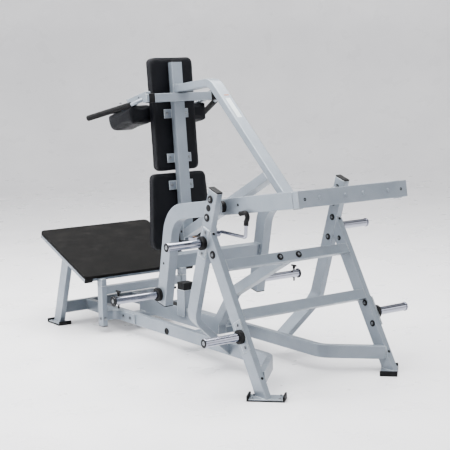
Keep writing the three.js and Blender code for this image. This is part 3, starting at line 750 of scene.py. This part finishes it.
# ------------------------------------------------------------------ caps, sleeves and end stops
caps = Mesh()
DECK_END = 718.3 - 14  # along the deck's side tubes, mm
for s in (1, -1):
    caps.box(ON_UPRIGHT, s * 480 - 19.5, s * 480 + 19.5, -44.5, 44.5, 0.2, 4.5, 1.6)
    caps.box(ON_UPRIGHT, s * 480 - 20.4, s * 480 + 20.4, -45.4, 45.4, 2.2, 9, 2.2, 3)
    caps.box(ON_DECK, s * 422 - 30.5, s * 422 + 30.5, DECK_END - 1, DECK_END + 10, -52.9, -22.4, 2, 3)
    caps.box(ON_DECK, s * 422 - 30.3, s * 422 + 30.3, 15, 23, -52.8, -22.4, 2, 3)
    caps.box(MM, s * POST_X - 20.5, s * POST_X + 20.5, POST_FRONT - 0.5, POST_REAR + 0.5,
             45, 51, 1.8, 2)
caps.piece("tube_end_caps", PLASTIC, BASE, "black_plastic", 40)

# post heads that reach the deck's underside, and turned-up ends on the front shoes
post_heads, shoe_ends = Mesh(), Mesh()
for s in (1, -1):
    post_heads.box(MM, s * POST_X - 20, s * POST_X + 20, POST_FRONT, POST_REAR, 335, 384, 1.2, 2)
    for way in (1, -1):
        y0, y1 = sorted((-2071.1 + way * 85.5, -2071.1 + way * 93))
        shoe_ends.box(MM, s * SHOE[0] - 50, s * SHOE[0] + 50, y0, y1, 0.3, 27, 3, 3)
post_heads.piece("platform_post_heads", SILVER, BASE, "silver_paint", 40)
shoe_ends.piece("front_shoe_ends", RUBBER, BASE, "black_rubber", 40)

lever_caps = Mesh()
lever_caps.box(ON_SPINE, -40.6, 40.6, -25.6, 25.6, 1189, 1196, 2, 3)
lever_caps.box(ON_SPINE, -40.4, 40.4, -25.4, 25.4, -5, 2, 2, 3)
arm_foot = turned(-ARM_FOOT_LEAN, -739 + (350 - 479) * math.tan(ARM_FOOT_LEAN) + 49, 350)
YOKE_HEIGHT, YOKE_BEHIND = 956, 53.65  # yoke bar's middle, up the spine and behind it
for s in (1, -1):
    lever_caps.box(arm_foot, s * 366.5 - 31.8, s * 366.5 + 31.8, -48.3, 48.3, -6, 2, 2, 3)
    cos, sin = math.cos(SPINE_LEAN), math.sin(SPINE_LEAN)
    sleeve = turned(SPINE_LEAN, SPINE_FOOT[0] + YOKE_BEHIND * cos - YOKE_HEIGHT * sin,
                    SPINE_FOOT[1] + YOKE_HEIGHT * cos + YOKE_BEHIND * sin)
    x0, x1 = sorted((s * 224, s * 268))
    lever_caps.box(sleeve, x0, x1, -30, 30, -30, 30, 5, 4)
lever_caps.piece("lever_caps_and_sleeves", PLASTIC, LEVER, "black_plastic", 40)


def end_stop(black, bright, tip, axis, flanged):
    """Dark ring and plated centre on a horn's tip; a loading horn also has a rubber flange."""
    if flanged:
        black.lathe([(28.2, -9.4), (31.4, -9.4), (32.2, -7.8), (32.2, -1.2), (31, 0.6), (28.2, 0.9),
                     (28.2, -9.4)][::-1], tip, axis, 36)
    black.lathe([(13, 0.3), (25.5, 0.3), (25.2, 1.8), (23.5, 2.8), (14, 2.6), (13, 0.3)][::-1],
                tip, axis, 36)
    bright.lathe([(0, 0.2), (12.7, 0.2), (12.7, 1.6), (11.6, 2.8), (7, 3.2), (5, 1.4), (0, 1.2)],
                 tip, axis, 28)


stops = {BASE: (Mesh(), Mesh()), LEVER: (Mesh(), Mesh())}
for s in (1, -1):
    for horn in (UPPER_HORN, LOWER_HORN):
        end_stop(*stops[BASE], P(s * STORAGE_HORN_TIP, *horn), X * s, False)
    end_stop(*stops[LEVER], P(s * LOADING_HORN_TIP, *LOADING_HORN), X * s, True)
for body, (black, bright) in stops.items():
    black.piece(body + "_horn_end_rings", RUBBER, body, "black_rubber", 40)
    bright.piece(body + "_horn_end_plugs", ZINC, body, "chrome_bar", 40)

# plated ferrules where the lock pins pass through the horns
ferrules = Mesh()
for s in (1, -1):
    for way in (1, -1):
        ferrules.lathe([(5.9, 0), (10.5, 0), (10.5, 3), (9.5, 4), (6.6, 4), (5.9, 3.2), (5.9, 0)][::-1],
                       P(s * LOCK_PIN_X, LOADING_HORN[0], LOADING_HORN[1] + way * 24), Z * way, 24)
ferrules.piece("pin_ferrules", ZINC, LEVER, "chrome_bar", 40)

# rubber pad and bronze liner on the lockout block
liner = Mesh()
liner.box(MM, 345.5, 399.5, -331, -264, 825, 829, 1.2)
liner.piece("lockout_liner", BRONZE, LOCKOUT, "silver_paint", 40)
cushion = Mesh()
cushion.box(MM, 348, 397, -326, -269, 828.5, 833, 1.8, 3)
cushion.piece("lockout_rubber", RUBBER, LOCKOUT, "black_rubber", 40)

# plain label plate and copper stripe on the upper face of the boom
boom_top = (-40.7 - 810 * math.cos(BOOM_DROP), 1206.4 + 810 * math.sin(BOOM_DROP))
ON_BOOM = turned(-BOOM_DROP, *boom_top)
label = Mesh()
label.box(ON_BOOM, -17, 17, 178, 352, 25.1, 25.6, 0.2, 1)
label.piece("boom_label_plate", LABEL, LEVER, "silver_paint", 40)
stripe = Mesh()
stripe.box(ON_BOOM, -26, 12, 146, 155, 25.1, 25.6, 0.2, 1)
stripe.piece("boom_stripe", COPPER, LEVER, "silver_paint", 40)

# ribbed sleeves over the hand grips
GRIP_AXIS = (Vector((333, -1110, 1608)), Vector((471, -1450, 1515)))
RIB_STEP = 6
for side, s in (("left", 1), ("right", -1)):
    a, b = (P(s * p.x, p.y, p.z) for p in GRIP_AXIS)
    along = (b - a).normalized()
    length = (b - a).length * 1000
    ribs = [(17.3, 3)]
    for k in range(int((length - 14) // RIB_STEP)):
        h = RIB_STEP * k
        ribs += [(19.0, 5 + h), (19.0, 8.4 + h), (18.2, 9.2 + h), (18.2, 10.4 + h)]
    ribs += [(19.4, length - 4), (18.5, length + 2), (12, length + 5), (0, length + 5.6)]
    sleeve = Mesh().lathe([(0, 3)] + ribs, a, along, 28)
    sleeve.piece(side + "_grip_sleeve", GRIP, LEVER, "black_rubber", 25)


# ------------------------------------------------------------------ floor, light, camera
def floor_material():
    n = Nodes("pale_floor")
    tone = n.ramp(n.noise(1.4, 5), [(0.3, (0.80, 0.795, 0.81)), (0.75, (0.86, 0.855, 0.865))])
    n.set(Base_Color=tone,
          Roughness=n.scalar(n.noise(3, 4), 0.24, 0.4, 0.3, 0.7), Specular_IOR_Level=0.4)
    n.bump(n.noise(40, 3), 0.03, 0.001)
    return n.mat


def studio_bowl(radius=13.0, curve=3.0, height=7.0, sides=96):
    """Flat floor that curves up into a round pale wall, with every camera inside it."""
    profile = [(radius - curve, 0.0)] + [
        (radius - curve + curve * math.sin(a), curve - curve * math.cos(a))
        for a in (math.pi / 2 * k / 12 for k in range(1, 13))] + [(radius, height)]
    bm = bmesh.new()
    rings = [[bm.verts.new((r * math.cos(a), r * math.sin(a), h - 0.0005))
              for a in (2 * math.pi * k / sides for k in range(sides))] for r, h in profile]
    bm.faces.new(rings[0])
    for low, high in zip(rings, rings[1:]):
        for k in range(sides):
            bm.faces.new([low[k], high[k], high[(k + 1) % sides], low[(k + 1) % sides]])
    mesh = bpy.data.meshes.new("floor")
    bm.to_mesh(mesh)
    bm.free()
    for poly in mesh.polygons:
        poly.use_smooth = poly.index > 0
    obj = bpy.data.objects.new("floor", mesh)
    bpy.context.scene.collection.objects.link(obj)
    mesh.materials.append(floor_material())


studio_bowl()


def area(name, at, aim, size, power, color):
    """Rectangular area light at `at`, turned towards `aim`."""
    light = bpy.data.lights.new(name, "AREA")
    light.shape, light.size, light.size_y = "RECTANGLE", size[0], size[1]
    light.energy, light.color = power, color
    obj = bpy.data.objects.new(name, light)
    bpy.context.scene.collection.objects.link(obj)
    obj.location = at
    obj.rotation_euler = (Vector(aim) - Vector(at)).to_track_quat("-Z", "Y").to_euler()


area("ceiling", (0.6, -0.4, 5.2), (0, -0.2, 0.4), (6.5, 7.5), 900, (1, 0.995, 0.985))
area("window_side", (7.8, -4.2, 3.6), (0, 0, 0.8), (4.5, 3.0), 480, (0.97, 0.985, 1))
area("rear_fill", (-5.5, 7.5, 3.4), (0, 0.3, 0.8), (4.0, 2.5), 40, (0.97, 0.985, 1))
world = bpy.data.worlds.new("studio")
bpy.context.scene.world = world
bpy.context.scene.view_settings.look = "AgX - Medium High Contrast"
world.use_nodes = True
sky = world.node_tree
height = sky.nodes.new("ShaderNodeSeparateXYZ")
bands = sky.nodes.new("ShaderNodeValToRGB")
sky.links.new(sky.nodes.new("ShaderNodeTexCoord").outputs["Generated"], height.inputs[0])
sky.links.new(height.outputs["Z"], bands.inputs["Fac"])
sky.links.new(bands.outputs["Color"], sky.nodes["Background"].inputs["Color"])
for position, gray in ((0.35, 0.8), (0.5, 0.22), (0.68, 0.18), (0.8, 1.0)):
    stop = bands.color_ramp.elements.new(position)
    stop.color = (gray * 0.98, gray * 0.99, gray, 1)
bands.color_ramp.elements.remove(bands.color_ramp.elements[0])
sky.nodes["Background"].inputs["Strength"].default_value = 1.1

CAMERA_AT = Vector((4.3894, 5.6826 + PIVOT_Y, 1.9019))
YAW, PITCH, ROLL = 2.5281, 0.1389, -0.0216  # radians
LENS, SENSOR, FAR = 96.02, 36, 60
forward = Vector((-math.sin(YAW) * math.cos(PITCH), math.cos(YAW) * math.cos(PITCH), -math.sin(PITCH)))
right = forward.cross(Z).normalized()
up = right.cross(forward)
rolled_right = right * math.cos(ROLL) + up * math.sin(ROLL)
rolled_up = up * math.cos(ROLL) - right * math.sin(ROLL)
camera = bpy.data.cameras.new("camera")
camera.lens, camera.sensor_width, camera.clip_end = LENS, SENSOR, FAR
camera_object = bpy.data.objects.new("camera", camera)
bpy.context.scene.collection.objects.link(camera_object)
turn = Matrix((rolled_right, rolled_up, -forward)).transposed()
camera_object.matrix_world = Matrix.Translation(CAMERA_AT) @ turn.to_4x4()
bpy.context.scene.camera = camera_object
